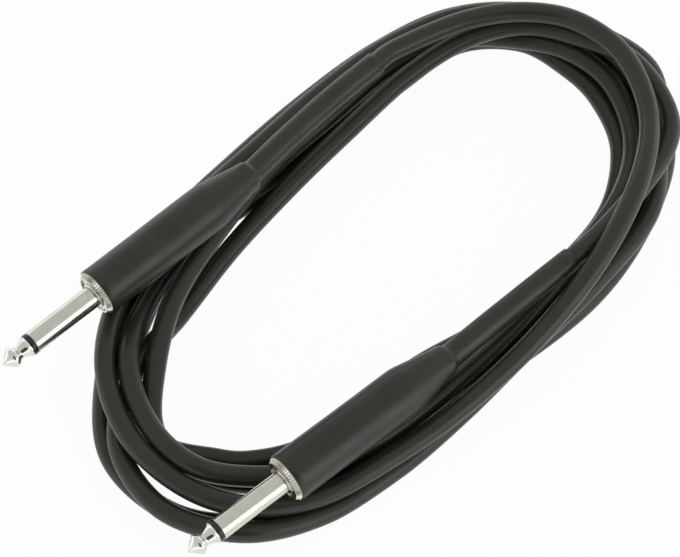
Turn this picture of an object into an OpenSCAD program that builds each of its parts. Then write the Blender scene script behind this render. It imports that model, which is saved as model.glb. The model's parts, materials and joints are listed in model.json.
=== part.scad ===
// Instrument cable: a coiled screened lead with a straight 6.35 mm jack plug on each end.
// Millimetres. X runs to the right, Y away from the viewer, Z up, and the lead lies on z = 0.

/* [Cable] */
// Outside diameter of the cable jacket
cable_d = 6; // [5:0.1:6]
// Length of jacket that reaches into each handle
jacket_reach = 28.5; // [26:0.5:32]

/* [Contacts] */
// Diameter of the shaft contact
shaft_d = 6.35; // [6.2:0.05:6.5]
// Length from the shoulder to the end of the tip
plug_reach = 31.75; // [28:0.25:36]
// Length of the tip in front of the insulator ring
tip_length = 8.7; // [7.5:0.1:11]
// Length of the cone at the end of the tip
cone_length = 3.5; // [2.5:0.1:4]
// Largest diameter of the cone
cone_d = 5.9; // [5:0.1:6.1]
// Diameter of the waist behind the cone
waist_d = 3.6; // [3:0.1:4.5]
// Diameter of the flat at the very end of the tip
nose_d = 0.6; // [0.3:0.1:1.5]
// Width of the insulator ring between tip and shaft
ring_width = 1.5; // [1:0.1:2.5]
// Diameter of the insulator ring and of the tip where it meets the ring
ring_d = 6.35; // [5.8:0.05:6.35]
// Diameter of the rod that runs back from the tip
rod_d = 2.4; // [1.8:0.1:3]
// Wall of the insulating tube round the rod
tube_wall = 0.7; // [0.4:0.05:0.7]
// Diameter of the shoulder at the foot of the shaft
shoulder_d = 7.8; // [7:0.1:9]
// Height of the shoulder in front of the rim
shoulder_h = 0.1; // [0.1:0.05:1]
// Diameter of the base flange inside the handle
flange_d = 10.4; // [9.5:0.1:11]
// Thickness of the base flange
flange_t = 4.6; // [3:0.1:6]
// Depth of the flange face behind the rim
flange_set = 0.4; // [0.1:0.05:1]

/* [Handle] */
// Length of the handle from rim to rear end
handle_length = 57; // [54:0.5:62]
// Diameter of the handle under the sleeve
handle_d = 13.2; // [12.8:0.1:13.3]
// Wall of the handle round the liner
handle_wall = 0.7; // [0.5:0.05:0.8]
// Diameter of the knurled rim where it meets the sleeve
rim_d = 13.6; // [13.2:0.1:14]
// Diameter of the rim at its front face
rim_front_d = 11.6; // [11.2:0.1:12.4]
// Width of the knurled rim
rim_width = 1.3; // [1.2:0.05:3]
// Number of flutes in the knurling
flutes = 48; // [24:2:60]
// Depth of a flute
flute_depth = 0.15; // [0.1:0.05:0.3]
// Length of the tapered rear of the handle
taper_length = 14.5; // [12:0.5:18]
// Diameter at the rear end of the handle
rear_d = 8.2; // [7.8:0.1:9]
// Length of the straight cable bore at the rear end
rear_bore_length = 3; // [2:0.5:5]

/* [Sleeve] */
// Wall of the shrunk sleeve
sleeve_wall = 0.45; // [0.3:0.05:0.5]
// Length of the step where the sleeve drops from the handle to the cable
step_length = 2.2; // [1.5:0.1:4]
// Height of the wrinkle that the step leaves round the tube
step_lip = 0.2; // [0.1:0.05:0.5]
// Length of sleeve on the cable of plug 1
sleeve_1_tail = 52.5; // [40:0.5:53]
// Length of sleeve on the cable of plug 2
sleeve_2_tail = 47.5; // [40:0.5:48]

/* [Inside the handle] */
// Thickness of the rear washer
washer_t = 1.2; // [0.8:0.1:2]
// Diameter of the rear washer
washer_d = 5.8; // [5.6:0.1:7]
// Thickness of both solder lugs
lug_t = 0.6; // [0.4:0.05:0.8]
// Diameter of the round foot of the tip lug
lug_d = 5.2; // [4.6:0.1:5.6]
// Width of the tab of the tip lug
tab_width = 3; // [2:0.1:4]
// Length of the tab of the tip lug
tab_length = 11; // [9:0.5:11]
// Diameter of the riveted end of the rod
rivet_d = 3.6; // [3:0.1:3.8]
// Height of the riveted end of the rod
rivet_h = 0.8; // [0.5:0.1:1.2]
// Width of the strip of the ground clamp
strip_width = 4; // [3:0.1:5]
// Length of the clamp on the jacket
clamp_length = 6; // [4:0.5:6]
// Distance from the jacket end to the clamp
clamp_back = 1.5; // [1:0.5:2]
// Width of the gap between the two clamp fingers
finger_gap = 2.4; // [1.6:0.1:3]
// Wall of the liner
liner_wall = 0.35; // [0.2:0.05:0.4]
// Length of the liner
liner_length = 32; // [28:0.5:33]
// Diameter of the core insulation
core_d = 2.6; // [2:0.1:2.6]
// Gap between the core insulation and the tab of the tip lug
core_gap = 0.2; // [0.1:0.05:0.5]
// Diameter of the bare conductor
conductor_d = 0.9; // [0.6:0.1:1]
// Length of bare conductor in front of the core insulation
conductor_length = 5; // [4:0.5:7]
// Diameter of the twisted screen tail
screen_d = 1.6; // [1.2:0.1:1.8]
// Length of the twisted screen tail
screen_length = 8; // [7:0.5:9]
// Length of each solder joint
solder_length = 3; // [2:0.1:3.5]
// Diameter of the solder joint at the tip lug
tip_solder_d = 2.2; // [1.8:0.1:2.4]
// Diameter of the solder joint at the ground clamp
ground_solder_d = 3; // [2.6:0.1:3.2]

/* [Show] */
// Sub-part to draw

/* [Hidden] */
$fn = 64;

// Clearances, and how far a cutter runs past what it cuts
fit_gap = 0.05;
strip_gap = 0.1;
cut_over = 1;
// Height of the screen tail below the axis as a share of the jacket's radius
screen_share = 0.63;
// Share of the strip's thickness that the barrel of the clamp reaches
barrel_share = 0.75;

// Where each plug lies: centre of the rim face, height of the axis, heading of the tip
plug_1 = [-71, -18.4, 22.6, 222.6];
plug_2 = [-18.6, -72.9, 19.4, 219.6];
// Degrees that the sleeved cable turns off the plug axis
bend_1 = 4;
bend_2 = 2;

// The coil is laid round an ellipse: centre, half axes and heading of the long axis
coil_centre = [11.1, 3.5];
coil_half = [86, 46];
coil_heading = 52;
// The first point of turn 1 and the angle from each point to the next
coil_start = 54;
coil_step = -18;
coil_substeps = 2;
cable_sides = 8;

// Points of the seven turns, chosen by hand: [distance outside the ellipse, height of the centre]
turn_1 = [
  [-2, 21.9], [-1, 21.8], [0.6, 21.6], [3.7, 21], [7, 21.4],
  [9.7, 21.5], [9.5, 24.9], [7.5, 21.5], [4.6, 16.3], [2.4, 11.9],
  [2.1, 9.4], [4.7, 9], [6.4, 10.6], [7.4, 12.2], [11.3, 15],
  [14.7, 15.2], [14.7, 11.4], [10.1, 9.8]
];
turn_2 = [
  [5.7, 9.2], [5.4, 9], [7.1, 9.6], [6.5, 13.3], [6.6, 12.3],
  [7, 9.1], [10.4, 8.2], [9.9, 2.8], [7.6, 7.2], [2.1, 2.8],
  [-5.4, 2.8], [-11.7, 2.8], [-9.1, 2.8], [-6.6, 2.8], [-4, 2.8],
  [-0.5, 7], [3.5, 9], [1, 12], [0, 13], [-2.2, 12.7]
];
turn_3 = [
  [-2.2, 10.6], [-2, 8.8], [0.8, 9], [1.4, 9.1], [-0.1, 8.6],
  [0.8, 9.2], [4, 8.9], [6.4, 8.7], [5.1, 12.7], [-1.2, 9.3],
  [-3.8, 9.2], [-5, 9.2], [-4.3, 9.1], [-3.8, 8.6], [-3, 9.3],
  [1.4, 13.4], [5, 15.3], [8.2, 15.5], [7.4, 9.1], [2.8, 7.8]
];
turn_4 = [
  [-4.4, 2.8], [-4.5, 2.8], [-1.9, 2.8], [3.8, 2.8], [2.9, 2.8],
  [-0.5, 2.8], [0.5, 2.8], [3.3, 2.8], [2.3, 2.8], [-4.4, 2.8],
  [-11.7, 2.8], [-18, 2.8], [-15.3, 2.8], [-12.8, 2.8], [-10.7, 2.8],
  [-7.3, 2.8], [3.4, 2.8], [9.5, 2.8], [8.6, 2.8], [7.3, 2.8]
];
turn_5 = [
  [2.6, 2.8], [2.6, 2.8], [4.7, 2.8], [8.9, 7.5], [8.2, 6],
  [7.4, 2.8], [14.5, 2.8], [16.5, 2.8], [13, 2.8], [8.2, 2.8],
  [0.9, 2.8], [-5.6, 2.8], [-2.9, 2.8], [0.9, 2.8], [8, 2.8],
  [12.6, 2.8], [16.7, 2.8], [15.6, 2.8], [14.7, 2.8], [13.5, 2.8]
];
turn_6 = [
  [9.9, 2.8], [9.2, 2.8], [11.1, 2.8], [13.7, 2.8], [13.7, 2.8],
  [13.5, 4.8], [16.6, 8.8], [13.7, 8.9], [14, 9.4], [7.6, 9.2],
  [2.5, 9], [1.5, 5.5], [3.4, 2.8], [7.7, 3.4], [12.9, 8.1],
  [15, 8.9], [14, 9.1], [6.8, 9.6], [-0.9, 3.2], [-6, 5]
];
turn_7 = [
  [-9.3, 7.6], [-9.2, 9.2], [-5.8, 11.3], [-2.4, 14.2], [0.5, 14.8],
  [3, 14.9], [11.4, 15.1], [16.6, 15.2], [9.3, 17.4]
];
lay = concat(turn_1, turn_2, turn_3, turn_4, turn_5, turn_6, turn_7);

// Radii and stations along a plug axis, measured from the rim face towards the tip
cable_r = cable_d / 2;
cable_bore_r = cable_r + fit_gap;
shaft_r = shaft_d / 2;
rod_r = rod_d / 2;
tube_r = rod_r + tube_wall;
tip_end = shoulder_h + plug_reach;
ring_front = tip_end - tip_length;
ring_back = ring_front - ring_width;
flange_back = -flange_set - flange_t;
washer_back = flange_back - washer_t;
lug_back = washer_back - lug_t;
taper_start = -handle_length + taper_length;
jacket_end = -handle_length + jacket_reach;
core_end = lug_back - tab_length - core_gap;
clamp_front = jacket_end - clamp_back;
handle_r = handle_d / 2;
handle_bore_r = handle_r - handle_wall;
sleeve_r = handle_r + sleeve_wall;
sleeve_tube_r = cable_bore_r + sleeve_wall;
tab_y = rivet_d / 2 + 2 * strip_gap;
wire_y = tab_y - conductor_d / 2 - strip_gap;
core_y = wire_y - conductor_d / 2 + strip_gap;
strip_y = max(washer_d / 2, cable_bore_r) + strip_gap;
screen_y = -cable_r * screen_share;
lying_z = cable_r * cos(180 / cable_sides);

// Shape of the tip behind the cone
lip_h = 0.3;
groove_h = 0.6;
groove_r = 2.6;
waist_h = 0.4;
waist_rise = 1.75;
cone_land = 0.25;

function unit(v) = v / norm(v);

function turned(v, a) = [v.x * cos(a) - v.y * sin(a), v.x * sin(a) + v.y * cos(a)];

// Point of the lay: outward from the ellipse by the chosen distance, at the chosen height
function lay_point(i) =
  let (
    a = coil_start + coil_step * i,
    on = [coil_half.x * cos(a), coil_half.y * sin(a)],
    out = unit([coil_half.y * cos(a), coil_half.x * sin(a)]),
    flat = coil_centre + turned(on + lay[i][0] * out, coil_heading)
  )
  [flat.x, flat.y, lay[i][1]];

function heading(a) = [cos(a), sin(a), 0];

function rim_point(p) = [p[0], p[1], p[2]];

function behind(p, s) = rim_point(p) + s * heading(p[3]);

function tail_point(p, bend, tail) =
  behind(p, -handle_length) - tail * heading(p[3] + bend);

function spline(p0, p1, p2, p3, t) =
  0.5 * (2 * p1 + (p2 - p0) * t + (2 * p0 - 5 * p1 + 4 * p2 - p3) * t * t
    + (3 * p1 - p0 - 3 * p2 + p3) * t * t * t);

function lifted(p) = [p.x, p.y, max(lying_z, p.z)];

tail_1 = tail_point(plug_1, bend_1, sleeve_1_tail);
tail_2 = tail_point(plug_2, bend_2, sleeve_2_tail);
spots = [for (i = [0:len(lay) - 1]) lay_point(i)];
first_spot = spots[0];
last_spot = spots[len(spots) - 1];
// Phantom points that make the cable leave and enter the sleeves along their axes
lead_in = first_spot + 2 * norm(first_spot - tail_1) * heading(plug_1[3] + bend_1);
lead_out = last_spot + 2 * norm(last_spot - tail_2) * heading(plug_2[3] + bend_2);
knots = concat([lead_in, tail_1], spots, [tail_2, lead_out]);
curve = [
  for (i = [1:len(knots) - 3])
    for (k = [0:coil_substeps - 1])
      lifted(spline(knots[i - 1], knots[i], knots[i + 1], knots[i + 2], k / coil_substeps))
];
path = concat(
  [behind(plug_1, jacket_end), behind(plug_1, -handle_length)],
  curve,
  [tail_2, behind(plug_2, -handle_length), behind(plug_2, jacket_end)]
);

function along(i) = unit(path[min(i + 1, len(path) - 1)] - path[max(i - 1, 0)]);

function cable_ring(i) =
  let (t = along(i), side = unit(cross(t, [0, 0, 1])), up = cross(side, t))
  [
    for (k = [0:cable_sides - 1])
      let (a = (k + 0.5) * 360 / cable_sides)
      path[i] + cable_r * (cos(a) * side + sin(a) * up)
  ];

function skin(i, k) =
  let (
    a = i * cable_sides + k,
    b = i * cable_sides + (k + 1) % cable_sides,
    c = a + cable_sides,
    d = b + cable_sides
  )
  [[a, b, d], [a, d, c]];

module cable() {
  last = len(path) - 1;
  color([0.17, 0.17, 0.16])
    polyhedron(
      points = [for (i = [0:last]) each cable_ring(i)],
      faces = concat(
        [[for (k = [cable_sides - 1:-1:0]) k]],
        [for (i = [0:last - 1]) for (k = [0:cable_sides - 1]) each skin(i, k)],
        [[for (k = [0:cable_sides - 1]) last * cable_sides + k]]
      )
    );
}

// Puts a piece on a plug axis: local z runs towards the tip, from the rim face
module on_plug(p) {
  translate(rim_point(p))
    rotate([0, 0, p[3]])
      rotate([0, 90, 0])
        children();
}

module rod(r, z0, z1, y = 0) {
  translate([0, y, z0])
    cylinder(h = z1 - z0, r = r);
}

module ring(r_out, r_in, z0, z1) {
  rotate_extrude()
    translate([r_in, z0])
      square([r_out - r_in, z1 - z0]);
}

module tip() {
  cone_base = tip_end - cone_length;
  waist_top = cone_base - cone_land - waist_rise;
  color([0.86, 0.85, 0.82])
    rotate_extrude()
      polygon([
        [0, lug_back - rivet_h],
        [rivet_d / 2, lug_back - rivet_h],
        [rivet_d / 2, lug_back],
        [rod_r, lug_back],
        [rod_r, ring_front],
        [ring_d / 2, ring_front],
        [ring_d / 2, ring_front + lip_h],
        [groove_r, ring_front + lip_h + groove_h],
        [waist_d / 2, waist_top - waist_h],
        [waist_d / 2, waist_top],
        [cone_d / 2, cone_base - cone_land],
        [cone_d / 2, cone_base],
        [nose_d / 2, tip_end],
        [0, tip_end]
      ]);
}

module insulator() {
  color([0.07, 0.07, 0.07])
    rotate_extrude()
      polygon([
        [rod_r, flange_back],
        [tube_r, flange_back],
        [tube_r, ring_back],
        [ring_d / 2, ring_back],
        [ring_d / 2, ring_front],
        [rod_r, ring_front]
      ]);
}

module shaft() {
  color([0.78, 0.76, 0.72])
    rotate_extrude()
      polygon([
        [tube_r, flange_back],
        [flange_d / 2, flange_back],
        [flange_d / 2, -flange_set],
        [shoulder_d / 2, -flange_set],
        [shoulder_d / 2, shoulder_h],
        [shaft_r, shoulder_h],
        [shaft_r, ring_back],
        [tube_r, ring_back]
      ]);
}

module washer() {
  color([0.35, 0.22, 0.13])
    ring(washer_d / 2, rod_r, washer_back, flange_back);
}

module tip_lug() {
  color([0.8, 0.78, 0.7])
    difference() {
      union() {
        rod(lug_d / 2, lug_back, washer_back);
        translate([-tab_width / 2, 0, lug_back])
          cube([tab_width, tab_y + lug_t, lug_t]);
        translate([-tab_width / 2, tab_y, lug_back - tab_length])
          cube([tab_width, lug_t, tab_length + lug_t]);
      }
      rod(rod_r, lug_back - cut_over, washer_back + cut_over);
    }
}

module ground_clamp() {
  clamp_rear = clamp_front - clamp_length;
  clamp_r = strip_y + lug_t * barrel_share;
  color([0.8, 0.78, 0.7])
    difference() {
      union() {
        translate([-strip_width / 2, -strip_y - lug_t, clamp_rear])
          cube([strip_width, lug_t, flange_back - clamp_rear]);
        rod(clamp_r, clamp_rear, clamp_front);
      }
      rod(cable_bore_r, clamp_rear - cut_over, clamp_front + cut_over);
      translate([-finger_gap / 2, 0, clamp_rear - cut_over])
        cube([finger_gap, clamp_r + cut_over, clamp_length + 2 * cut_over]);
    }
}

// The flutes, sloped like the cone of the rim and cut off where the rim ends
module flutes_cut(rim_r, front_r) {
  flute_r = 2 * flute_depth;
  slope = atan2(rim_r - front_r, rim_width);
  flute_run = rim_width / cos(slope) + cut_over;
  intersection() {
    for (i = [0:flutes - 1])
      rotate([0, 0, i * 360 / flutes])
        translate([front_r, 0, 0])
          rotate([0, -slope, 0])
            translate([flute_r - flute_depth, 0, -flute_run])
              cylinder(h = flute_run + cut_over, r = flute_r);
    translate([-rim_d, -rim_d, -rim_width])
      cube([2 * rim_d, 2 * rim_d, rim_width + 2 * cut_over]);
  }
}

module handle() {
  rim_r = rim_d / 2;
  front_r = rim_front_d / 2;
  seat_r = flange_d / 2 + fit_gap;
  color([0.8, 0.78, 0.74])
    difference() {
      rotate_extrude()
        polygon([
          [seat_r, 0],
          [front_r, 0],
          [rim_r, -rim_width],
          [handle_r, -rim_width],
          [handle_r, taper_start],
          [rear_d / 2, -handle_length],
          [cable_bore_r, -handle_length],
          [cable_bore_r, rear_bore_length - handle_length],
          [handle_bore_r, taper_start],
          [handle_bore_r, flange_back],
          [seat_r, flange_back]
        ]);
      flutes_cut(rim_r, front_r);
    }
}

module liner() {
  liner_r = handle_bore_r - fit_gap;
  color([0.85, 0.83, 0.78])
    ring(liner_r, liner_r - liner_wall, flange_back - fit_gap - liner_length, flange_back - fit_gap);
}

module sleeve(bend, tail) {
  color([0.15, 0.15, 0.15])
    difference() {
      union() {
        rotate_extrude()
          polygon([
            [0, -rim_width],
            [sleeve_r, -rim_width],
            [sleeve_r, taper_start],
            [rear_d / 2 + sleeve_wall, -handle_length],
            [sleeve_tube_r + step_lip, -handle_length - step_length],
            [0, -handle_length - step_length]
          ]);
        translate([0, 0, -handle_length])
          rotate([-bend, 0, 0])
            rod(sleeve_tube_r, -tail, 0);
      }
      rotate_extrude()
        polygon([
          [0, cut_over],
          [handle_r, cut_over],
          [handle_r, taper_start],
          [rear_d / 2, -handle_length],
          [0, -handle_length]
        ]);
      translate([0, 0, -handle_length])
        rotate([-bend, 0, 0])
          rod(cable_bore_r, -tail - cut_over, cut_over);
    }
}

module core() {
  color([0.9, 0.88, 0.82])
    rod(core_d / 2, jacket_end, core_end, core_y);
}

module conductor() {
  color([0.75, 0.45, 0.25])
    rod(conductor_d / 2, core_end, core_end + conductor_length, wire_y);
}

module tip_solder() {
  z1 = core_end + conductor_length - fit_gap;
  color([0.7, 0.7, 0.7])
    difference() {
      rod(tip_solder_d / 2, z1 - solder_length, z1, wire_y);
      rod(conductor_d / 2, z1 - solder_length - cut_over, z1 + cut_over, wire_y);
      translate([-tip_solder_d, tab_y, z1 - solder_length - cut_over])
        cube([2 * tip_solder_d, tip_solder_d, solder_length + 2 * cut_over]);
    }
}

module screen_tail() {
  color([0.72, 0.5, 0.35])
    rod(screen_d / 2, jacket_end, jacket_end + screen_length, screen_y);
}

module ground_solder() {
  blob_y = screen_y - screen_d / 4;
  z1 = jacket_end + screen_length - fit_gap;
  color([0.7, 0.7, 0.7])
    difference() {
      rod(ground_solder_d / 2, z1 - solder_length, z1, blob_y);
      rod(screen_d / 2, z1 - solder_length - cut_over, z1 + cut_over, screen_y);
      translate([-ground_solder_d, -strip_y - ground_solder_d, z1 - solder_length - cut_over])
        cube([2 * ground_solder_d, ground_solder_d, solder_length + 2 * cut_over]);
    }
}

cable();
on_plug(plug_1) tip();  // plug_1_tip
on_plug(plug_1) insulator();  // plug_1_insulator
on_plug(plug_1) shaft();  // plug_1_shaft
on_plug(plug_1) washer();  // plug_1_washer
on_plug(plug_1) tip_lug();  // plug_1_tip_lug
on_plug(plug_1) ground_clamp();  // plug_1_ground_clamp
on_plug(plug_1) handle();  // plug_1_handle
on_plug(plug_1) liner();  // plug_1_liner
on_plug(plug_1) sleeve(bend_1, sleeve_1_tail);  // plug_1_sleeve
on_plug(plug_1) core();  // plug_1_core
on_plug(plug_1) conductor();  // plug_1_conductor
on_plug(plug_1) tip_solder();  // plug_1_tip_solder
on_plug(plug_1) screen_tail();  // plug_1_screen_tail
on_plug(plug_1) ground_solder();  // plug_1_ground_solder
on_plug(plug_2) tip();  // plug_2_tip
on_plug(plug_2) insulator();  // plug_2_insulator
on_plug(plug_2) shaft();  // plug_2_shaft
on_plug(plug_2) washer();  // plug_2_washer
on_plug(plug_2) tip_lug();  // plug_2_tip_lug
on_plug(plug_2) ground_clamp();  // plug_2_ground_clamp
on_plug(plug_2) handle();  // plug_2_handle
on_plug(plug_2) liner();  // plug_2_liner
on_plug(plug_2) sleeve(bend_2, sleeve_2_tail);  // plug_2_sleeve
on_plug(plug_2) core();  // plug_2_core
on_plug(plug_2) conductor();  // plug_2_conductor
on_plug(plug_2) tip_solder();  // plug_2_tip_solder
on_plug(plug_2) screen_tail();  // plug_2_screen_tail
on_plug(plug_2) ground_solder();  // plug_2_ground_solder
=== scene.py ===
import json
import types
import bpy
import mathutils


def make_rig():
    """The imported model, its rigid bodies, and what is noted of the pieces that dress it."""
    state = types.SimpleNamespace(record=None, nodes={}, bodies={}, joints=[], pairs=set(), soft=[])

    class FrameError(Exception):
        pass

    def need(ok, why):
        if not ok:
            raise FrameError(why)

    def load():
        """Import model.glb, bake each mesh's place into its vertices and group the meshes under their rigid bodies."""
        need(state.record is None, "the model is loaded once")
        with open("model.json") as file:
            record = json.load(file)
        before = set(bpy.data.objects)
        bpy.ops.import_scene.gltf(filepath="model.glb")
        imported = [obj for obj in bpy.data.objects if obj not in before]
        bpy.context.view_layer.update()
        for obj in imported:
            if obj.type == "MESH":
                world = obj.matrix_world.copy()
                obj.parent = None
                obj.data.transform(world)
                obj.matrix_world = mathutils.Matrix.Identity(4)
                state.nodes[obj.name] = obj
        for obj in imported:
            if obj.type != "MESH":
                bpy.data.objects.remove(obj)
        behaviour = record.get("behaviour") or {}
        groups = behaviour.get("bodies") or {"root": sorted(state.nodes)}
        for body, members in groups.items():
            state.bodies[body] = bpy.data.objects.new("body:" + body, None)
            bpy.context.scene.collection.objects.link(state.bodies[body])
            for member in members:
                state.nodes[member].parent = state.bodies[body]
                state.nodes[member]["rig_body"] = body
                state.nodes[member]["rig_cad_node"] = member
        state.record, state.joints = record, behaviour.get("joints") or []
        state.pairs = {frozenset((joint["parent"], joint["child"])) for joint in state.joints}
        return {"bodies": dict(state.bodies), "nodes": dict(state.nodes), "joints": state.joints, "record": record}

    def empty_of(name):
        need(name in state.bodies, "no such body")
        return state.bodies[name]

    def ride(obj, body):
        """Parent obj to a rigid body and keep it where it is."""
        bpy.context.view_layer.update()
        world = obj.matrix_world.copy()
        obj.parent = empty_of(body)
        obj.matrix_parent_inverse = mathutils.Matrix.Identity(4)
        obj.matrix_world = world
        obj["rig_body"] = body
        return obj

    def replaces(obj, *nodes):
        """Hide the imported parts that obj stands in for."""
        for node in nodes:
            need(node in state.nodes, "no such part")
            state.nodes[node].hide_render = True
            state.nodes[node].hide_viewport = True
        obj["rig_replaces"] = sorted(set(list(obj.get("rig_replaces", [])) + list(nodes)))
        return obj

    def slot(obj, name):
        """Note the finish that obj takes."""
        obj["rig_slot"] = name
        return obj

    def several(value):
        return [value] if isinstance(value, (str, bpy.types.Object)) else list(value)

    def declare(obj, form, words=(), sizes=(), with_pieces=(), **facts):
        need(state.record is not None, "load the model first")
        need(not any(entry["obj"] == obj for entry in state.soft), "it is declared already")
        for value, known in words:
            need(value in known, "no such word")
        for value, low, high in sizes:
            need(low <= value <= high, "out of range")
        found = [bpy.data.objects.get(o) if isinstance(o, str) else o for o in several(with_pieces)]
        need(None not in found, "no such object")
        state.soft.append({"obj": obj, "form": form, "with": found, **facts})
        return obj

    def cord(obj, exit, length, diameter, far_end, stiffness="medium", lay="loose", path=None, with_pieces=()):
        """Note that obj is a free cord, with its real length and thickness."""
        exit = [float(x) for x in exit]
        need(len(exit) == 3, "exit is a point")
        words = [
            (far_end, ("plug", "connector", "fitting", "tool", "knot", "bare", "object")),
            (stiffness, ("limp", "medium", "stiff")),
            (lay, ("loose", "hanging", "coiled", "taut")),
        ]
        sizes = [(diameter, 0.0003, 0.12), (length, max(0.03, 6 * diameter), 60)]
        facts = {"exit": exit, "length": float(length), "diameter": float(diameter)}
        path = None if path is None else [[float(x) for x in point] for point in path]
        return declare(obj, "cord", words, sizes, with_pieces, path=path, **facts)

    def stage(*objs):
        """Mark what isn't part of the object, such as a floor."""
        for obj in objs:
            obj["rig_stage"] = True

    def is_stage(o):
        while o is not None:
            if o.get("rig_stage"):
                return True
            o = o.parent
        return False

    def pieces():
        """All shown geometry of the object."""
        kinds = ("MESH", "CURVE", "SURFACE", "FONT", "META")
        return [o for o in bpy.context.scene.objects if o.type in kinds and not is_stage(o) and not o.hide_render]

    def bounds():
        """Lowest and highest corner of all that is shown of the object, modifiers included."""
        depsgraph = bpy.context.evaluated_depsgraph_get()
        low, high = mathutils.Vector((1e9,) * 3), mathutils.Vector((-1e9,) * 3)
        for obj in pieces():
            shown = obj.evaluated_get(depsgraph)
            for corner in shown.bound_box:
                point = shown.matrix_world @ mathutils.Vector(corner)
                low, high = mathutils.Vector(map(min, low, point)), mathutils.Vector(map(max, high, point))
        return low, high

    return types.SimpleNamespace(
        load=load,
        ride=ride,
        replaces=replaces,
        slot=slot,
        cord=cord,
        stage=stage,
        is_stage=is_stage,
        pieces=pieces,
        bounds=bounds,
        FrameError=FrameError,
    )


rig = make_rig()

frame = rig.load()

import json
import math
import bpy
from mathutils import Matrix, Vector

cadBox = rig.bounds()
mm = 0.001  # sizes are written in mm and angles in degrees
print("frame loaded:", len(frame["nodes"]), "nodes")

handleLength = 57.0
taperStart = -42.5  # the handle narrows from here to its rear end
cableBore = 3.05  # inner radius of what closes round the cable

# Where each plug lies: centre of the rim face, heading of the tip, sleeve on the cable.
# tailTurn is the cable's angle off the plug axis at the neck and at the sleeve's end.
plugs = {
    1: {"rim": (-71.0, -18.4, 22.6), "heading": 222.6, "tail": 52.5, "tailTurn": (8.2, 0.0)},
    2: {"rim": (-18.6, -72.9, 19.4), "heading": 219.6, "tail": 47.5, "tailTurn": (2.6, 1.4)},
}

cameraSetup = {
    "lens": 135.0,
    "sensor": 36.0,
    "elevation": 60.5,
    "distance": 714.0,
    "aim": (-3.4, -7.0, 12.0),
    "nearest": 10.0,
    "farthest": 20000.0,
}


def addCamera(setup):
    up = math.radians(setup["elevation"])
    aim = Vector(setup["aim"]) * mm
    back = Vector((0, -math.cos(up), math.sin(up))) * setup["distance"] * mm
    bpy.ops.object.camera_add(location=aim + back, rotation=(math.pi / 2 - up, 0, 0))
    camera = bpy.context.object
    camera.name = "camera"
    camera.data.lens = setup["lens"]
    camera.data.sensor_width = setup["sensor"]
    camera.data.clip_start = setup["nearest"] * mm
    camera.data.clip_end = setup["farthest"] * mm
    bpy.context.scene.camera = camera


addCamera(cameraSetup)
print("camera placed")

cableSetup = {
    "diameter": 6.0,
    "length": 3080.0,
    "jacketEnd": -28.5,  # where the jacket stops inside each handle
    "neck": -handleLength,
    "coilCentre": (11.1, 3.5),
    "coilHalf": (86.0, 46.0),
    "coilHeading": 52.0,
    "coilStart": 54.0,
    "coilStep": -18.0,
    "tailSteps": 12,
    "pointsPerStep": 10,
    "bevelResolution": 12,
    # each point, one step on from the last: distance outside the ellipse, height of the centre
    "turns": [
        [
            (-2, 21.9), (-1, 21.8), (0.6, 21.6), (3.7, 21), (7, 21.4),
            (9.7, 21.5), (9.5, 24.9), (7.5, 21.5), (4.6, 16.3), (2.4, 11.9),
            (2.1, 9.4), (4.7, 9), (6.4, 10.6), (7.4, 12.2), (11.3, 15),
            (14.7, 15.2), (14.7, 11.4), (10.1, 9.8),
        ],
        [
            (5.7, 9.2), (5.4, 9), (7.1, 9.6), (6.5, 13.3), (6.6, 12.3),
            (7, 9.1), (10.4, 8.2), (9.9, 2.8), (7.6, 7.2), (2.1, 2.8),
            (-5.4, 2.8), (-11.7, 2.8), (-9.1, 2.8), (-6.6, 2.8), (-4, 2.8),
            (-0.5, 7), (3.5, 9), (1, 12), (0, 13), (-2.2, 12.7),
        ],
        [
            (-2.2, 10.6), (-2, 8.8), (0.8, 9), (1.4, 9.1), (-0.1, 8.6),
            (0.8, 9.2), (4, 8.9), (6.4, 8.7), (5.1, 12.7), (-1.2, 9.3),
            (-3.8, 9.2), (-5, 9.2), (-4.3, 9.1), (-3.8, 8.6), (-3, 9.3),
            (1.4, 13.4), (5, 15.3), (8.2, 15.5), (7.4, 9.1), (2.8, 7.8),
        ],
        [
            (-4.4, 2.8), (-4.5, 2.8), (-1.9, 2.8), (3.8, 2.8), (2.9, 2.8),
            (-0.5, 2.8), (0.5, 2.8), (3.3, 2.8), (2.3, 2.8), (-4.4, 2.8),
            (-11.7, 2.8), (-18, 2.8), (-15.3, 2.8), (-12.8, 2.8), (-10.7, 2.8),
            (-7.3, 2.8), (3.4, 2.8), (9.5, 2.8), (8.6, 2.8), (7.3, 2.8),
        ],
        [
            (2.6, 2.8), (2.6, 2.8), (4.7, 2.8), (8.9, 7.5), (8.2, 6),
            (7.4, 2.8), (14.5, 2.8), (16.5, 2.8), (13, 2.8), (8.2, 2.8),
            (0.9, 2.8), (-5.6, 2.8), (-2.9, 2.8), (0.9, 2.8), (8, 2.8),
            (12.6, 2.8), (16.7, 2.8), (15.6, 2.8), (14.7, 2.8), (13.5, 2.8),
        ],
        [
            (9.9, 2.8), (9.2, 2.8), (11.1, 2.8), (13.7, 2.8), (13.7, 2.8),
            (13.5, 4.8), (16.6, 8.8), (13.7, 8.9), (14, 9.4), (7.6, 9.2),
            (2.5, 9), (1.5, 5.5), (3.4, 2.8), (7.7, 3.4), (12.9, 8.1),
            (15, 8.9), (14, 9.1), (6.8, 9.6), (-0.9, 3.2), (-6, 5),
        ],
        [
            (-9.3, 7.6), (-9.2, 9.2), (-5.8, 11.3), (-2.4, 14.2), (0.5, 14.8),
            (3, 14.9), (11.4, 15.1), (16.6, 15.2), (9.3, 17.4),
        ],
    ],
}


def headingVector(degrees):
    angle = math.radians(degrees)
    return Vector((math.cos(angle), math.sin(angle), 0))


def onAxis(plug, z):
    return Vector(plug["rim"]) + headingVector(plug["heading"]) * z


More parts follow.
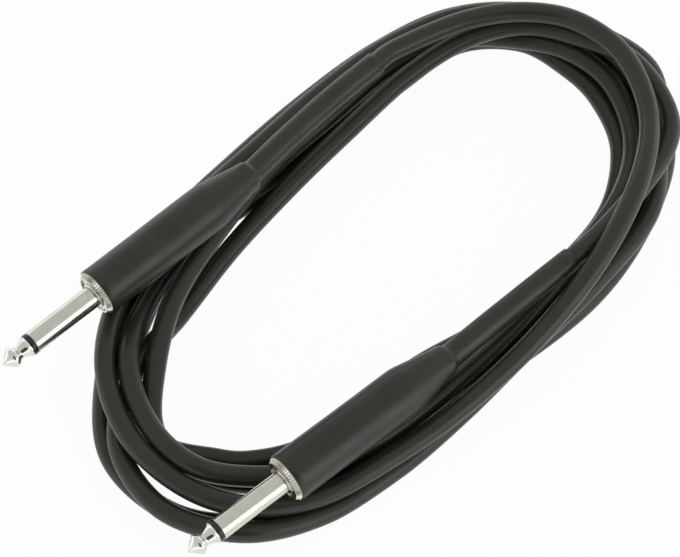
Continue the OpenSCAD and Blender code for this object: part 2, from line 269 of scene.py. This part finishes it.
def tailDrift(plug, along):
    # sideways distance of the cable from the plug axis, along the sleeve's tail
    first, last = (math.radians(a) for a in plug["tailTurn"])
    return first * along - (first - last) * along * along / (2 * plug["tail"])


def tailPoint(plug, setup, along):
    side = headingVector(plug["heading"] - 90)
    return onAxis(plug, setup["neck"] - along) + side * tailDrift(plug, along)


def layPoint(setup, number, point):
    outside, height = point
    angle = math.radians(setup["coilStart"] + setup["coilStep"] * number)
    a, b = setup["coilHalf"]
    onCoil = Vector((a * math.cos(angle), b * math.sin(angle)))
    outward = Vector((b * math.cos(angle), a * math.sin(angle))).normalized()
    flat = Matrix.Rotation(math.radians(setup["coilHeading"]), 2) @ (onCoil + outward * outside)
    return Vector((flat.x + setup["coilCentre"][0], flat.y + setup["coilCentre"][1], height))


def splinePoint(p0, p1, p2, p3, t):
    # a smooth curve from p1 to p2 that heads as p0 and p3 say (Catmull-Rom)
    return 0.5 * (
        2 * p1 + (p2 - p0) * t + (2 * p0 - 5 * p1 + 4 * p2 - p3) * t * t
        + (3 * p1 - p0 - 3 * p2 + p3) * t * t * t
    )


def cableRoute(setup):
    spots = []
    for turn in setup["turns"]:
        for point in turn:
            spots.append(layPoint(setup, len(spots), point))
    steps = setup["tailSteps"]
    ends = []
    leads = []
    for plug, spot in ((plugs[1], spots[0]), (plugs[2], spots[-1])):
        run = [onAxis(plug, setup["jacketEnd"])]
        run += [tailPoint(plug, setup, plug["tail"] * k / steps) for k in range(steps + 1)]
        ends.append(run)
        # a helper point that makes the curve leave the sleeve in the sleeve's direction
        outward = headingVector(plug["heading"] + plug["tailTurn"][1])
        leads.append(spot + outward * 2 * (spot - run[-1]).length)
    knots = [leads[0], ends[0][-1]] + spots + [ends[1][-1], leads[1]]
    route = ends[0][:-1]
    n = setup["pointsPerStep"]
    for i in range(1, len(knots) - 2):
        for k in range(n):
            route.append(splinePoint(knots[i - 1], knots[i], knots[i + 1], knots[i + 2], k / n))
    route += reversed(ends[1])
    # the lowest turns rest on the table
    lowest = setup["diameter"] / 2
    return [Vector((p.x, p.y, max(p.z, lowest))) * mm for p in route]


def makeCable(setup):
    route = cableRoute(setup)
    curve = bpy.data.curves.new("cableJacket", "CURVE")
    curve.dimensions = "3D"
    curve.twist_mode = "Z_UP"
    spline = curve.splines.new("POLY")
    spline.points.add(len(route) - 1)
    for point, place in zip(spline.points, route):
        point.co = (*place, 1)
    curve.bevel_depth = setup["diameter"] / 2 * mm
    curve.bevel_resolution = setup["bevelResolution"]
    curve.use_fill_caps = True
    cable = bpy.data.objects.new("cableJacket", curve)
    bpy.context.collection.objects.link(cable)
    spline.use_smooth = True
    total = sum((b - a).length for a, b in zip(route, route[1:]))
    print("cable route:", round(total, 4), "m")
    return cable, route


cableJacket, route = makeCable(cableSetup)


def deselectAll():
    if bpy.context.object and bpy.context.object.mode != "OBJECT":
        bpy.ops.object.mode_set(mode="OBJECT")
    bpy.ops.object.select_all(action="DESELECT")


def plugMatrix(plug):
    turn = Matrix.Rotation(math.radians(plug["heading"]), 4, "Z")
    level = Matrix.Rotation(math.pi / 2, 4, "Y")
    return Matrix.Translation(Vector(plug["rim"]) * mm) @ turn @ level


def rounded(z, radius, shape):
    # rings near one place: each gives a distance along the axis and a change of the radius
    return [(z + along, radius + change) for along, change in shape]


def startRing(name, station, sides, filled):
    z, radius = station
    deselectAll()
    bpy.ops.mesh.primitive_circle_add(
        vertices=sides, radius=radius * mm, fill_type="NGON" if filled else "NOTHING")
    piece = bpy.context.object
    piece.name = name
    piece.data.name = name
    bpy.ops.object.mode_set(mode="EDIT")
    bpy.ops.mesh.select_all(action="SELECT")
    bpy.ops.transform.translate(value=(0, 0, z * mm))
    return piece


def nextRing(before, after):
    z0, r0 = before
    z1, r1 = after
    bpy.ops.mesh.extrude_edges_move(TRANSFORM_OT_translate={"value": (0, 0, (z1 - z0) * mm)})
    bpy.ops.transform.resize(value=(r1 / r0, r1 / r0, 1), center_override=(0, 0, z1 * mm))


def turnedSolid(name, stations, sides=64):
    # stations run from one end to the other as (z, radius); both ends are closed
    piece = startRing(name, stations[0], sides, True)
    for before, after in zip(stations, stations[1:]):
        nextRing(before, after)
    bpy.ops.mesh.edge_face_add()
    bpy.ops.mesh.select_all(action="SELECT")
    bpy.ops.mesh.normals_make_consistent(inside=False)
    deselectAll()
    return piece


def turnedTube(name, stations, sides=64):
    # stations run once round the wall; the last ring is bridged back to the first
    piece = startRing(name, stations[0], sides, False)
    for before, after in zip(stations, stations[1:]):
        nextRing(before, after)
    bpy.ops.mesh.select_all(action="DESELECT")
    bpy.ops.mesh.select_mode(type="EDGE")
    bpy.ops.mesh.select_non_manifold()
    bpy.ops.mesh.bridge_edge_loops()
    bpy.ops.mesh.select_all(action="SELECT")
    bpy.ops.mesh.normals_make_consistent(inside=False)
    deselectAll()
    return piece


def finishPiece(piece, plug, material, slotName, nodes, smoothAngle=38):
    deselectAll()
    piece.select_set(True)
    bpy.context.view_layer.objects.active = piece
    piece.matrix_world = plugMatrix(plug)
    bpy.ops.object.transform_apply(location=True, rotation=True, scale=True)
    bpy.ops.object.shade_smooth_by_angle(angle=math.radians(smoothAngle))
    piece.data.materials.clear()
    piece.data.materials.append(material)
    piece.select_set(False)
    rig.replaces(piece, *nodes)
    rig.slot(piece, slotName)
    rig.ride(piece, "root")
    return piece


def newMaterial(name):
    material = bpy.data.materials.new(name)
    material.use_nodes = True
    nodes = material.node_tree.nodes
    nodes.clear()
    output = nodes.new("ShaderNodeOutputMaterial")
    shader = nodes.new("ShaderNodeBsdfPrincipled")
    material.node_tree.links.new(shader.outputs["BSDF"], output.inputs["Surface"])
    coords = nodes.new("ShaderNodeTexCoord")
    return material, nodes, material.node_tree.links, shader, coords


def addNoise(nodes, links, coords, scale, detail=3.0, stretch=(1, 1, 1)):
    mapping = nodes.new("ShaderNodeMapping")
    mapping.inputs["Scale"].default_value = stretch
    noise = nodes.new("ShaderNodeTexNoise")
    noise.inputs["Scale"].default_value = scale
    noise.inputs["Detail"].default_value = detail
    links.new(coords.outputs["Object"], mapping.inputs["Vector"])
    links.new(mapping.outputs["Vector"], noise.inputs["Vector"])
    return noise.outputs["Fac"]


def addRamp(nodes, links, source, low, high, stops=(0.3, 0.7)):
    ramp = nodes.new("ShaderNodeValToRGB")
    first, last = ramp.color_ramp.elements
    first.position, last.position = stops
    first.color = (*low, 1) if isinstance(low, tuple) else (low, low, low, 1)
    last.color = (*high, 1) if isinstance(high, tuple) else (high, high, high, 1)
    links.new(source, ramp.inputs["Fac"])
    return ramp.outputs["Color"]


def addBump(nodes, links, shader, source, strength, distance):
    bump = nodes.new("ShaderNodeBump")
    bump.inputs["Strength"].default_value = strength
    bump.inputs["Distance"].default_value = distance
    links.new(source, bump.inputs["Height"])
    links.new(bump.outputs["Normal"], shader.inputs["Normal"])


def surfaceMaterial(name, look):
    material, nodes, links, shader, coords = newMaterial(name)
    shader.inputs["Metallic"].default_value = look.get("metallic", 0.0)
    shader.inputs["IOR"].default_value = look.get("ior", 1.5)
    shader.inputs["Coat Weight"].default_value = look.get("coat", 0.0)
    shader.inputs["Coat Roughness"].default_value = look.get("coatRoughness", 0.03)
    tone = addNoise(nodes, links, coords, look["toneScale"], stretch=look.get("stretch", (1, 1, 1)))
    color = addRamp(nodes, links, tone, look["dark"], look["light"])
    links.new(color, shader.inputs["Base Color"])
    wear = addNoise(nodes, links, coords, look["wearScale"], detail=5.0)
    roughness = addRamp(nodes, links, wear, look["smooth"], look["rough"])
    links.new(roughness, shader.inputs["Roughness"])
    grain = addNoise(nodes, links, coords, look["grainScale"], detail=2.0)
    addBump(nodes, links, shader, grain, look.get("grain", 0.2), look.get("grainDepth", 0.00002))
    return material


looks = {
    "jacketVinyl": {"dark": (0.024, 0.0236, 0.0165), "light": (0.031, 0.0305, 0.0225), "toneScale": 60,
                    "smooth": 0.32, "rough": 0.4, "wearScale": 240, "grainScale": 2600, "grain": 0.06,
                    "ior": 1.38, "coat": 0.12, "coatRoughness": 0.18},
    "shrinkSleeve": {"dark": (0.019, 0.0187, 0.0135), "light": (0.027, 0.0267, 0.0205), "toneScale": 90,
                     "smooth": 0.36, "rough": 0.46, "wearScale": 160, "grainScale": 1500, "grain": 0.1,
                     "ior": 1.43, "coat": 0.1, "coatRoughness": 0.2},
    "nickelShaft": {"dark": (0.64, 0.63, 0.56), "light": (0.70, 0.69, 0.62), "toneScale": 300,
                    "smooth": 0.18, "rough": 0.24, "wearScale": 500, "grainScale": 3000, "grain": 0.015,
                    "metallic": 1.0},
    "nickelTip": {"dark": (0.72, 0.715, 0.65), "light": (0.78, 0.775, 0.71), "toneScale": 300,
                  "smooth": 0.08, "rough": 0.13, "wearScale": 600, "grainScale": 3000, "grain": 0.01,
                  "metallic": 1.0},
    "ringPlastic": {"dark": (0.01, 0.01, 0.01), "light": (0.016, 0.016, 0.016), "toneScale": 400,
                    "smooth": 0.2, "rough": 0.3, "wearScale": 600, "grainScale": 3000, "grain": 0.05},
    "fibreBoard": {"dark": (0.12, 0.05, 0.02), "light": (0.22, 0.1, 0.05), "toneScale": 900,
                   "smooth": 0.5, "rough": 0.7, "wearScale": 700, "grainScale": 2500, "grain": 0.4},
    "tinnedBrass": {"dark": (0.6, 0.57, 0.48), "light": (0.72, 0.69, 0.6), "toneScale": 500,
                    "smooth": 0.25, "rough": 0.4, "wearScale": 700, "grainScale": 2500, "grain": 0.15,
                    "metallic": 1.0},
    "linerCard": {"dark": (0.7, 0.68, 0.6), "light": (0.8, 0.78, 0.72), "toneScale": 300,
                  "smooth": 0.5, "rough": 0.6, "wearScale": 500, "grainScale": 2500, "grain": 0.2},
    "corePlastic": {"dark": (0.78, 0.76, 0.68), "light": (0.86, 0.84, 0.77), "toneScale": 300,
                    "smooth": 0.35, "rough": 0.45, "wearScale": 500, "grainScale": 2500, "grain": 0.1},
    "copperWire": {"dark": (0.6, 0.3, 0.16), "light": (0.78, 0.42, 0.24), "toneScale": 900,
                   "smooth": 0.25, "rough": 0.4, "wearScale": 900, "grainScale": 4000, "grain": 0.5,
                   "metallic": 1.0},
    "solderTin": {"dark": (0.5, 0.5, 0.5), "light": (0.65, 0.65, 0.66), "toneScale": 600,
                  "smooth": 0.2, "rough": 0.35, "wearScale": 700, "grainScale": 2500, "grain": 0.2,
                  "metallic": 1.0},
}
materials = {name: surfaceMaterial(name, look) for name, look in looks.items()}
print("materials made:", len(materials))

cableJacket.data.materials.append(materials["jacketVinyl"])
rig.replaces(cableJacket, "cable")
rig.slot(cableJacket, "jacket")
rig.ride(cableJacket, "root")


# Places along a plug count from the front of its rim, positive towards the tip.
contact = {
    "ringFront": 23.15,
    "ringBack": 21.65,
    "ringRadius": 3.175,
    "shaftRadius": 3.175,
    "shaftSides": 96,
    "rodRadius": 1.2,
    "tubeRadius": 1.9,
    "shoulderRadius": 3.9,
    "shoulder": 0.1,
    "flangeRadius": 5.2,
    "flangeFront": -0.4,
    "flangeBack": -5.0,
    "lugBack": -6.8,
    "rivetRadius": 1.8,
    "rivetHeight": 0.8,
    # rounded edges: distance along the axis, change of the radius
    "rivetEdge": [(0, -0.3), (0.25, 0)],
    "ringBackEdge": [(0, -0.06), (0.08, 0)],
    "ringFrontEdge": [(-0.08, 0), (0, -0.06)],
    "flangeBackEdge": [(0, -0.2), (0.2, 0)],
    "flangeFrontEdge": [(-0.15, 0), (0, -0.15)],
    "shoulderEdge": [(-0.12, 0), (0, -0.12)],
    "shoulderFillet": [(0, 0.05), (0.05, 0)],
    "shaftEdge": [(-0.12, 0), (0, -0.12)],
    # shape of the tip in front of the ring: distance, radius
    "tipShape": [
        (0.0, 3.1), (0.07, 3.175), (0.26, 3.175), (0.34, 3.1), (0.6, 2.82), (1.0, 2.58),
        (1.45, 2.36), (1.9, 2.16), (2.3, 2.0), (2.65, 1.88), (2.95, 1.81), (3.15, 1.8),
        (3.35, 1.86), (3.6, 2.0), (3.9, 2.23), (4.3, 2.55), (4.6, 2.75), (4.85, 2.88),
        (5.05, 2.945), (5.25, 2.965), (5.45, 2.93), (5.65, 2.85), (5.9, 2.71), (6.2, 2.48),
        (6.6, 2.12), (7.1, 1.64), (7.6, 1.14), (8.0, 0.74), (8.3, 0.47), (8.5, 0.31),
        (8.62, 0.19), (8.7, 0.06),
    ],
}


def makeTip(number, plug, size):
    stations = [
        *rounded(size["lugBack"] - size["rivetHeight"], size["rivetRadius"], size["rivetEdge"]),
        (size["lugBack"], size["rivetRadius"]),
        (size["lugBack"], size["rodRadius"]),
        (size["ringFront"], size["rodRadius"]),
    ]
    stations += [(size["ringFront"] + z, r) for z, r in size["tipShape"]]
    piece = turnedSolid("plugTip%d" % number, stations)
    return finishPiece(piece, plug, materials["nickelTip"], "tip_nickel", ["plug_%d_tip" % number])


def makeInsulator(number, plug, size):
    stations = [
        (size["flangeBack"], size["rodRadius"]),
        (size["flangeBack"], size["tubeRadius"]),
        (size["ringBack"], size["tubeRadius"]),
        *rounded(size["ringBack"], size["ringRadius"], size["ringBackEdge"]),
        *rounded(size["ringFront"], size["ringRadius"], size["ringFrontEdge"]),
        (size["ringFront"], size["rodRadius"]),
    ]
    piece = turnedTube("tipInsulator%d" % number, stations)
    nodes = ["plug_%d_insulator" % number]
    return finishPiece(piece, plug, materials["ringPlastic"], "black_plastic", nodes)


def makeShaft(number, plug, size):
    stations = [
        (size["flangeBack"], size["tubeRadius"]),
        *rounded(size["flangeBack"], size["flangeRadius"], size["flangeBackEdge"]),
        *rounded(size["flangeFront"], size["flangeRadius"], size["flangeFrontEdge"]),
        (size["flangeFront"], size["shoulderRadius"]),
        *rounded(size["shoulder"], size["shoulderRadius"], size["shoulderEdge"]),
        *rounded(size["shoulder"], size["shaftRadius"], size["shoulderFillet"]),
        *rounded(size["ringBack"], size["shaftRadius"], size["shaftEdge"]),
        (size["ringBack"], size["tubeRadius"]),
    ]
    piece = turnedTube("shaftContact%d" % number, stations, size["shaftSides"])
    nodes = ["plug_%d_shaft" % number]
    return finishPiece(piece, plug, materials["nickelShaft"], "nickel", nodes, smoothAngle=30)


handleSetup = {
    "radius": 6.6,
    "bore": 5.9,
    "seat": 5.25,
    "seatDepth": -5.0,
    "rimRadius": 6.8,
    "rimFront": 5.8,
    "rimWidth": 1.3,
    "rearRadius": 4.1,
    "rearThickness": 3.0,
    "frontRound": 0.12,
    "rimRound": 0.08,
    "coneStations": (0.0, 0.08, 0.16, 0.5, 0.88, 0.96),  # share of the way from front to back
    "teeth": 48,
    "toothDepth": 0.4,
    "toothShape": (0, 0.35, 1, 0.35),  # share of the depth, column by column
}


def makeHandle(number, plug, size):
    rim, front, width = size["rimRadius"], size["rimFront"], size["rimWidth"]
    stations = [
        (0, size["seat"]),
        (0, front - size["frontRound"]),
        *((-width * t, front + (rim - front) * t) for t in size["coneStations"]),
        (-width, rim - size["rimRound"]),
        (-width, size["radius"]),
        (taperStart, size["radius"]),
        (-handleLength, size["rearRadius"]),
        (-handleLength, cableBore),
        (size["rearThickness"] - handleLength, cableBore),
        (taperStart, size["bore"]),
        (size["seatDepth"], size["bore"]),
        (size["seatDepth"], size["seat"]),
    ]
    columns = len(size["toothShape"])
    sides = size["teeth"] * columns
    piece = turnedTube("handleRim%d" % number, stations, sides)
    # the knurling: the columns of the cone's rings are pressed in, tooth by tooth
    margin = 0.01
    for vertex in piece.data.vertices:
        r = math.hypot(vertex.co.x, vertex.co.y) / mm
        z = vertex.co.z / mm
        if margin - width < z < -margin and r > (size["seat"] + front) / 2:
            column = round((math.atan2(vertex.co.y, vertex.co.x) / math.tau) * sides) % columns
            factor = (r - size["toothShape"][column] * size["toothDepth"]) / r
            vertex.co.x *= factor
            vertex.co.y *= factor
    nodes = ["plug_%d_handle" % number]
    return finishPiece(piece, plug, materials["nickelShaft"], "nickel", nodes, smoothAngle=25)


sleeveSetup = {
    "front": -1.3,
    "wall": 0.45,
    "radius": 7.05,
    "neck": -handleLength,
    "neckRadius": 4.55,
    "tubeRadius": 3.52,
    "sides": 96,
    # spacing of the rings over the handle and along the tube, and how many the taper has
    "handleStep": 2.0,
    "tubeStep": 1.5,
    "taperRings": 14,
    # edges and bends: distance along the axis, change of the radius
    "frontEdge": [(0, -0.14), (-0.12, 0)],
    "taperBend": [(2, 0), (1, -0.01), (0, -0.06), (-1, -0.2)],
    "taperEnd": (1.6, 0.12),
    "neckBend": [(0.9, 0.1), (0.2, 0.02), (-0.3, -0.12), (-0.7, -0.36)],
    "tubeBend": [(-1.05, 0.4), (-1.4, 0.22), (-1.9, 0.1), (-2.6, 0.03)],
    "rearEdge": [(0.1, 0), (0, -0.1)],
    "tubeStart": 4.0,
    # gathers at the neck: depth, half of their stretch, centre in front of the neck, width
    "gathers": {"depth": 0.09, "reach": 9.0, "centre": 0.5, "width": 2.2},
    # waves round the sleeve: strength, how many, change along the axis, share of the phase
    "gatherWaves": [(1.0, 5, 0.0, 1.0), (0.6, 8, 0.0, -1.3)],
    "rippleWaves": [(0.02, 3, 0.21, 1.0), (0.015, 2, -0.13, 0.0)],
    "phaseStep": 1.7,
}


def evenRings(first, last, step, radius):
    # rings from first towards last, last left out; step may be negative
    rings = []
    z = first
    while (last - z) * step > 0:
        rings.append((z, radius))
        z += step
    return rings


def sleeveStations(size, tail):
    neck, radius, tube = size["neck"], size["radius"], size["tubeRadius"]
    end = neck - tail
    step, tubeStep = size["handleStep"], size["tubeStep"]
    bend = rounded(taperStart, radius, size["taperBend"])
    lastAlong, lastChange = size["taperEnd"]
    z0, r0 = bend[-1]
    z1, r1 = neck + lastAlong, size["neckRadius"] + lastChange
    shares = [k / size["taperRings"] for k in range(1, size["taperRings"])]
    return [
        *rounded(size["front"], radius, size["frontEdge"]),
        *evenRings(size["front"] - step, bend[0][0] + step / 2, -step, radius),
        *bend,
        *((z0 + (z1 - z0) * t, r0 + (r1 - r0) * t) for t in shares),
        *rounded(neck, size["neckRadius"], size["neckBend"]),
        *rounded(neck, tube, size["tubeBend"]),
        *evenRings(neck - size["tubeStart"], end + tubeStep, -tubeStep, tube),
        *rounded(end, tube, size["rearEdge"]),
        (end, cableBore),
        # back along the inside
        *evenRings(end + tubeStep, neck, tubeStep, cableBore),
        (neck, cableBore),
        (neck, size["neckRadius"] - size["wall"]),
        (taperStart, radius - size["wall"]),
        (size["front"], radius - size["wall"]),
    ]


def waveSum(waves, angle, z, phase):
    return sum(
        strength * math.sin(count * angle + pitch * z + share * phase)
        for strength, count, pitch, share in waves
    )


def makeSleeve(number, plug, size):
    stations = sleeveStations(size, plug["tail"])
    piece = turnedTube("shrinkSleeve%d" % number, stations, size["sides"])
    gathers = size["gathers"]
    phase = number * size["phaseStep"]
    for vertex in piece.data.vertices:
        x, y, z = (c / mm for c in vertex.co)
        r = math.hypot(x, y)
        angle = math.atan2(y, x)
        behind = size["neck"] - z
        swell = 0
        if r > (cableBore + size["tubeRadius"]) / 2:
            if abs(behind) < gathers["reach"]:
                # shallow gathers where the sleeve shrank over the end of the handle
                near = math.exp(-((behind + gathers["centre"]) / gathers["width"]) ** 2)
                swell = gathers["depth"] * near * waveSum(size["gatherWaves"], angle, z, phase)
            else:
                swell = waveSum(size["rippleWaves"], angle, z, phase)
        x *= (r + swell) / r
        y *= (r + swell) / r
        if behind > 0:
            y -= tailDrift(plug, behind)
        vertex.co = (x * mm, y * mm, z * mm)
    nodes = ["plug_%d_sleeve" % number]
    return finishPiece(piece, plug, materials["shrinkSleeve"], "sleeve", nodes, smoothAngle=60)


plugPieces = {}
for number, plug in plugs.items():
    plugPieces[number] = [
        makeTip(number, plug, contact), makeInsulator(number, plug, contact),
        makeShaft(number, plug, contact), makeHandle(number, plug, handleSetup),
        makeSleeve(number, plug, sleeveSetup),
    ]
    print("plug", number, "made")


# The pieces inside the handles keep their plain solids.
innerFinish = {
    "washer": "fibreBoard", "tip_lug": "tinnedBrass", "ground_clamp": "tinnedBrass",
    "liner": "linerCard", "core": "corePlastic", "conductor": "copperWire",
    "tip_solder": "solderTin", "screen_tail": "copperWire", "ground_solder": "solderTin",
}
for number in plugs:
    for part, finish in innerFinish.items():
        node = bpy.data.objects["plug_%d_%s" % (number, part)]
        node.data.materials.clear()
        node.data.materials.append(materials[finish])
print("inner pieces finished")

# the exit is at plug 1, so plug 2 and all that it holds lies at the cable's far end
onCable = plugPieces[2] + ["plug_2_" + part for part in innerFinish]
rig.cord(cableJacket, exit=tuple(route[0]), length=cableSetup["length"] * mm,
        diameter=cableSetup["diameter"] * mm, far_end="plug", stiffness="medium", lay="coiled",
        with_pieces=onCable)


studio = {
    "floorSize": 6,  # metres
    "floorColor": (0.95, 0.95, 0.95),
    "floorRoughness": 0.9,
    "floorGlow": 0.96,  # share of plain white in how the floor is seen and mirrored
    # soft light by height above the horizon: sine of the height, strength
    "sky": [(0.0, 2.0), (0.1, 1.5), (0.25, 0.85), (0.4, 0.68), (1.0, 0.68)],
    # a dark spot above the table, mirrored by the bright metal: direction, cosines of its soft edge
    "darkSpot": {"towards": (0.12, -0.683, 0.72), "outer": 0.89, "inner": 0.935, "share": 0.08},
    "lamps": [
        # name, place in metres, size, watts
        ("softBox", (0.95, -0.59, 0.47), 0.7, 2.4),
    ],
}


def addFloor(setup):
    deselectAll()
    bpy.ops.mesh.primitive_plane_add(size=setup["floorSize"])
    floor = bpy.context.object
    floor.name = "floor"
    material, nodes, links, shader, coords = newMaterial("paleFloor")
    shader.inputs["Base Color"].default_value = (*setup["floorColor"], 1)
    shader.inputs["Roughness"].default_value = setup["floorRoughness"]
    shader.inputs["Specular IOR Level"].default_value = 0.0
    glow = nodes.new("ShaderNodeEmission")
    glow.inputs["Strength"].default_value = 1.0
    path = nodes.new("ShaderNodeLightPath")
    seen = nodes.new("ShaderNodeMath")
    seen.operation = "MAXIMUM"
    links.new(path.outputs["Is Camera Ray"], seen.inputs[0])
    links.new(path.outputs["Is Glossy Ray"], seen.inputs[1])
    share = nodes.new("ShaderNodeMath")
    share.operation = "MULTIPLY"
    share.inputs[1].default_value = setup["floorGlow"]
    links.new(seen.outputs[0], share.inputs[0])
    mix = nodes.new("ShaderNodeMixShader")
    links.new(share.outputs[0], mix.inputs["Fac"])
    links.new(shader.outputs["BSDF"], mix.inputs[1])
    links.new(glow.outputs["Emission"], mix.inputs[2])
    output = next(n for n in nodes if n.type == "OUTPUT_MATERIAL")
    links.new(mix.outputs["Shader"], output.inputs["Surface"])
    floor.data.materials.append(material)
    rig.stage(floor)


def addLamps(setup):
    for name, place, size, watts in setup["lamps"]:
        data = bpy.data.lights.new(name, "AREA")
        data.shape = "SQUARE"
        data.size = size
        data.energy = watts
        lamp = bpy.data.objects.new(name, data)
        bpy.context.collection.objects.link(lamp)
        lamp.location = place
        lamp.rotation_euler = (-Vector(place)).to_track_quat("-Z", "Y").to_euler()


def addWorld(setup):
    world = bpy.data.worlds.new("studioWorld")
    bpy.context.scene.world = world
    world.use_nodes = True
    nodes, links = world.node_tree.nodes, world.node_tree.links
    nodes.clear()
    output = nodes.new("ShaderNodeOutputWorld")
    coords = nodes.new("ShaderNodeTexCoord")
    split = nodes.new("ShaderNodeSeparateXYZ")
    links.new(coords.outputs["Generated"], split.inputs["Vector"])
    ramp = nodes.new("ShaderNodeValToRGB")
    links.new(split.outputs["Z"], ramp.inputs["Fac"])
    # the ramp holds each strength as a share of the brightest
    brightest = max(strength for height, strength in setup["sky"])
    while len(ramp.color_ramp.elements) < len(setup["sky"]):
        ramp.color_ramp.elements.new(1.0)
    for element, (height, strength) in zip(ramp.color_ramp.elements, setup["sky"]):
        element.position = height
        element.color = (*[strength / brightest] * 3, 1)
    dark = setup["darkSpot"]
    spot = nodes.new("ShaderNodeVectorMath")
    spot.operation = "DOT_PRODUCT"
    spot.inputs[1].default_value = dark["towards"]
    links.new(coords.outputs["Generated"], spot.inputs[0])
    stops = (dark["outer"], dark["inner"])
    edge = addRamp(nodes, links, spot.outputs["Value"], 1, dark["share"], stops)
    dim = nodes.new("ShaderNodeVectorMath")
    dim.operation = "MULTIPLY"
    links.new(ramp.outputs["Color"], dim.inputs[0])
    links.new(edge, dim.inputs[1])
    soft = nodes.new("ShaderNodeBackground")
    links.new(dim.outputs["Vector"], soft.inputs["Color"])
    soft.inputs["Strength"].default_value = brightest
    white = nodes.new("ShaderNodeBackground")
    white.inputs["Color"].default_value = (1, 1, 1, 1)
    white.inputs["Strength"].default_value = 1.0
    path = nodes.new("ShaderNodeLightPath")
    mix = nodes.new("ShaderNodeMixShader")
    links.new(path.outputs["Is Camera Ray"], mix.inputs["Fac"])
    links.new(soft.outputs["Background"], mix.inputs[1])
    links.new(white.outputs["Background"], mix.inputs[2])
    links.new(mix.outputs["Shader"], output.inputs["Surface"])


addFloor(studio)
addLamps(studio)
addWorld(studio)
bpy.context.scene.view_settings.view_transform = "Standard"
print("studio made")

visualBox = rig.bounds()
with open("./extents.json", "w") as sizeFile:
    json.dump({"cad": [list(corner) for corner in cadBox],
               "visual": [list(corner) for corner in visualBox]}, sizeFile)
